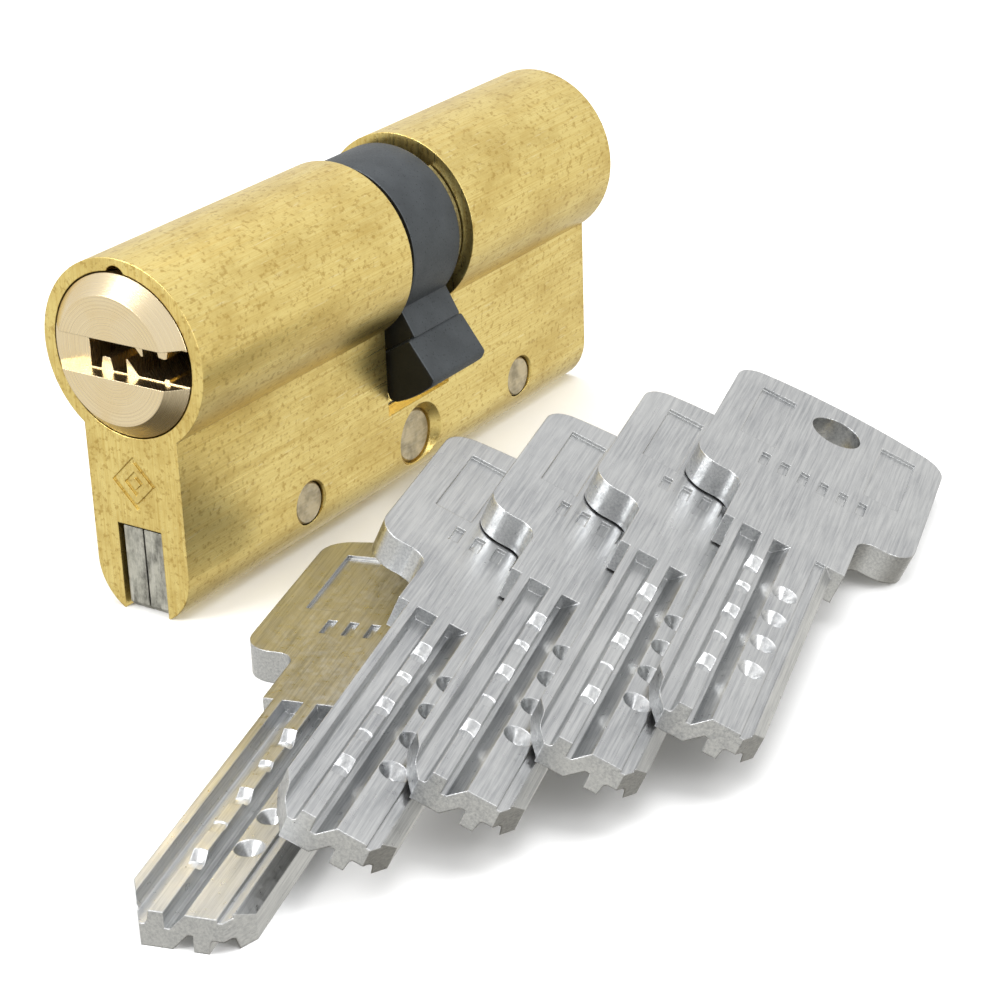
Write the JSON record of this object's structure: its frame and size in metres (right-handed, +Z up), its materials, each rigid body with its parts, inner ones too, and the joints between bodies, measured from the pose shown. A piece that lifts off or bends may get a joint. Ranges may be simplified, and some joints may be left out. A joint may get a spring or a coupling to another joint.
{
  "type": "door lock cylinder with keys",
  "caption": "Double-ended profile door lock cylinder in brass with a dark cam, steel plates in its foot, pin stacks inside and its flat dimple keys.",
  "frame": {"origin": "middle of the fixing-screw hole in the web", "axes": "+X along the fixing hole towards the side the keys lie on, +Y along the plugs from the front end to the rear end, +Z up from the web to the plugs"},
  "size_m": [0.0683, 0.1061, 0.0323],
  "materials": {
    "brass": "satin, brushed along its length",
    "nickel_brass": "turned and polished",
    "sintered_steel": "matte grey",
    "plate_steel": "mottled grey",
    "pin_steel": "satin",
    "spring_steel": "satin",
    "nickel_silver": "satin silver"
  },
  "bodies": {
    "cylinder_body": {"housing": "brass", "reinforcement_plate_left": "plate_steel", "reinforcement_plate_right": "plate_steel", "cross_pin_front": "pin_steel", "cross_pin_rear": "pin_steel", "fixing_insert": "pin_steel", "front_pin_spring_1": "spring_steel", "front_pin_spring_2": "spring_steel", "front_pin_spring_3": "spring_steel", "front_pin_spring_4": "spring_steel", "front_pin_spring_5": "spring_steel", "rear_pin_spring_1": "spring_steel", "rear_pin_spring_2": "spring_steel", "rear_pin_spring_3": "spring_steel", "rear_pin_spring_4": "spring_steel", "rear_pin_spring_5": "spring_steel"},
    "front_plug_body": {"front_plug": "nickel_brass", "front_circlip": "spring_steel"},
    "rear_plug_body": {"rear_plug": "nickel_brass", "rear_circlip": "spring_steel"},
    "cam_body": {"cam": "sintered_steel"},
    "front_driver_body": {"front_clutch_driver": "pin_steel", "clutch_spring": "spring_steel"},
    "rear_driver_body": {"rear_clutch_driver": "pin_steel"},
    "front_key_pin_1_body": {"front_key_pin_1": "brass"},
    "front_driver_pin_1_body": {"front_driver_pin_1": "pin_steel"},
    "front_key_pin_2_body": {"front_key_pin_2": "brass"},
    "front_driver_pin_2_body": {"front_driver_pin_2": "pin_steel"},
    "front_key_pin_3_body": {"front_key_pin_3": "brass"},
    "front_driver_pin_3_body": {"front_driver_pin_3": "pin_steel"},
    "front_key_pin_4_body": {"front_key_pin_4": "brass"},
    "front_driver_pin_4_body": {"front_driver_pin_4": "pin_steel"},
    "front_key_pin_5_body": {"front_key_pin_5": "brass"},
    "front_driver_pin_5_body": {"front_driver_pin_5": "pin_steel"},
    "rear_key_pin_1_body": {"rear_key_pin_1": "brass"},
    "rear_driver_pin_1_body": {"rear_driver_pin_1": "pin_steel"},
    "rear_key_pin_2_body": {"rear_key_pin_2": "brass"},
    "rear_driver_pin_2_body": {"rear_driver_pin_2": "pin_steel"},
    "rear_key_pin_3_body": {"rear_key_pin_3": "brass"},
    "rear_driver_pin_3_body": {"rear_driver_pin_3": "pin_steel"},
    "rear_key_pin_4_body": {"rear_key_pin_4": "brass"},
    "rear_driver_pin_4_body": {"rear_driver_pin_4": "pin_steel"},
    "rear_key_pin_5_body": {"rear_key_pin_5": "brass"},
    "rear_driver_pin_5_body": {"rear_driver_pin_5": "pin_steel"},
    "key_1_body": {"key_1": "nickel_silver"},
    "key_2_body": {"key_2": "nickel_silver"},
    "key_3_body": {"key_3": "nickel_silver"},
    "key_4_body": {"key_4": "nickel_silver"},
    "key_5_body": {"key_5": "nickel_silver"}
  },
  "joints": [
    {"name": "front_plug_turn", "type": "hinge", "parent": "cylinder_body", "child": "front_plug_body", "pos_m": [0, -0.035, 0.0193], "axis": [0, 1, 0], "continuous": true},
    {"name": "cam_turn", "type": "hinge", "parent": "cylinder_body", "child": "cam_body", "pos_m": [0, 0, 0.0193], "axis": [0, 1, 0], "continuous": true},
    {"name": "rear_plug_turn", "type": "hinge", "parent": "cylinder_body", "child": "rear_plug_body", "pos_m": [0, 0.03, 0.0193], "axis": [0, 1, 0], "continuous": true},
    {"name": "front_driver_slide", "type": "slide", "parent": "front_plug_body", "child": "front_driver_body", "axis": [0, -1, 0], "range_m": [0, 0.0026]},
    {"name": "rear_driver_slide", "type": "slide", "parent": "rear_plug_body", "child": "rear_driver_body", "axis": [0, -1, 0], "range_m": [0, 0.0026]},
    {"name": "front_key_pin_1_slide", "type": "slide", "parent": "front_plug_body", "child": "front_key_pin_1_body", "axis": [0, 0, 1], "range_m": [0, 0.0006]},
    {"name": "front_driver_pin_1_slide", "type": "slide", "parent": "cylinder_body", "child": "front_driver_pin_1_body", "axis": [0, 0, -1], "range_m": [0, 0.0015], "stiffness_N_per_m": 300, "springref_m": -0.002, "deforming": ["front_pin_spring_1"]},
    {"name": "front_key_pin_2_slide", "type": "slide", "parent": "front_plug_body", "child": "front_key_pin_2_body", "axis": [0, 0, 1], "range_m": [0, 0.0011]},
    {"name": "front_driver_pin_2_slide", "type": "slide", "parent": "cylinder_body", "child": "front_driver_pin_2_body", "axis": [0, 0, -1], "range_m": [0, 0.0015], "stiffness_N_per_m": 300, "springref_m": -0.002, "deforming": ["front_pin_spring_2"]},
    {"name": "front_key_pin_3_slide", "type": "slide", "parent": "front_plug_body", "child": "front_key_pin_3_body", "axis": [0, 0, 1], "range_m": [0, 0.0008]},
    {"name": "front_driver_pin_3_slide", "type": "slide", "parent": "cylinder_body", "child": "front_driver_pin_3_body", "axis": [0, 0, -1], "range_m": [0, 0.0015], "stiffness_N_per_m": 300, "springref_m": -0.002, "deforming": ["front_pin_spring_3"]},
    {"name": "front_key_pin_4_slide", "type": "slide", "parent": "front_plug_body", "child": "front_key_pin_4_body", "axis": [0, 0, 1], "range_m": [0, 0.0013]},
    {"name": "front_driver_pin_4_slide", "type": "slide", "parent": "cylinder_body", "child": "front_driver_pin_4_body", "axis": [0, 0, -1], "range_m": [0, 0.0015], "stiffness_N_per_m": 300, "springref_m": -0.002, "deforming": ["front_pin_spring_4"]},
    {"name": "front_key_pin_5_slide", "type": "slide", "parent": "front_plug_body", "child": "front_key_pin_5_body", "axis": [0, 0, 1], "range_m": [0, 0.0007]},
    {"name": "front_driver_pin_5_slide", "type": "slide", "parent": "cylinder_body", "child": "front_driver_pin_5_body", "axis": [0, 0, -1], "range_m": [0, 0.0015], "stiffness_N_per_m": 300, "springref_m": -0.002, "deforming": ["front_pin_spring_5"]},
    {"name": "rear_key_pin_1_slide", "type": "slide", "parent": "rear_plug_body", "child": "rear_key_pin_1_body", "axis": [0, 0, 1], "range_m": [0, 0.0006]},
    {"name": "rear_driver_pin_1_slide", "type": "slide", "parent": "cylinder_body", "child": "rear_driver_pin_1_body", "axis": [0, 0, -1], "range_m": [0, 0.0015], "stiffness_N_per_m": 300, "springref_m": -0.002, "deforming": ["rear_pin_spring_1"]},
    {"name": "rear_key_pin_2_slide", "type": "slide", "parent": "rear_plug_body", "child": "rear_key_pin_2_body", "axis": [0, 0, 1], "range_m": [0, 0.0011]},
    {"name": "rear_driver_pin_2_slide", "type": "slide", "parent": "cylinder_body", "child": "rear_driver_pin_2_body", "axis": [0, 0, -1], "range_m": [0, 0.0015], "stiffness_N_per_m": 300, "springref_m": -0.002, "deforming": ["rear_pin_spring_2"]},
    {"name": "rear_key_pin_3_slide", "type": "slide", "parent": "rear_plug_body", "child": "rear_key_pin_3_body", "axis": [0, 0, 1], "range_m": [0, 0.0008]},
    {"name": "rear_driver_pin_3_slide", "type": "slide", "parent": "cylinder_body", "child": "rear_driver_pin_3_body", "axis": [0, 0, -1], "range_m": [0, 0.0015], "stiffness_N_per_m": 300, "springref_m": -0.002, "deforming": ["rear_pin_spring_3"]},
    {"name": "rear_key_pin_4_slide", "type": "slide", "parent": "rear_plug_body", "child": "rear_key_pin_4_body", "axis": [0, 0, 1], "range_m": [0, 0.0013]},
    {"name": "rear_driver_pin_4_slide", "type": "slide", "parent": "cylinder_body", "child": "rear_driver_pin_4_body", "axis": [0, 0, -1], "range_m": [0, 0.0015], "stiffness_N_per_m": 300, "springref_m": -0.002, "deforming": ["rear_pin_spring_4"]},
    {"name": "rear_key_pin_5_slide", "type": "slide", "parent": "rear_plug_body", "child": "rear_key_pin_5_body", "axis": [0, 0, 1], "range_m": [0, 0.0007]},
    {"name": "rear_driver_pin_5_slide", "type": "slide", "parent": "cylinder_body", "child": "rear_driver_pin_5_body", "axis": [0, 0, -1], "range_m": [0, 0.0015], "stiffness_N_per_m": 300, "springref_m": -0.002, "deforming": ["rear_pin_spring_5"]},
    {"name": "key_1_slide", "type": "slide", "parent": "cylinder_body", "child": "key_1_body", "axis": [0.2756, -0.9613, 0], "range_m": [0, 0.03]},
    {"name": "key_2_slide", "type": "slide", "parent": "cylinder_body", "child": "key_2_body", "axis": [0.2756, -0.9613, 0], "range_m": [0, 0.03]},
    {"name": "key_3_slide", "type": "slide", "parent": "cylinder_body", "child": "key_3_body", "axis": [0.2756, -0.9613, 0], "range_m": [0, 0.03]},
    {"name": "key_4_slide", "type": "slide", "parent": "cylinder_body", "child": "key_4_body", "axis": [0.2756, -0.9613, 0], "range_m": [0, 0.03]},
    {"name": "key_5_slide", "type": "slide", "parent": "cylinder_body", "child": "key_5_body", "axis": [0.2756, -0.9613, 0], "range_m": [0, 0.03]}
  ],
  "couplings": [
    {"joint": "cam_turn", "follows": "front_plug_turn", "ratio": 1},
    {"joint": "rear_driver_slide", "follows": "front_driver_slide", "ratio": 1}
  ]
}
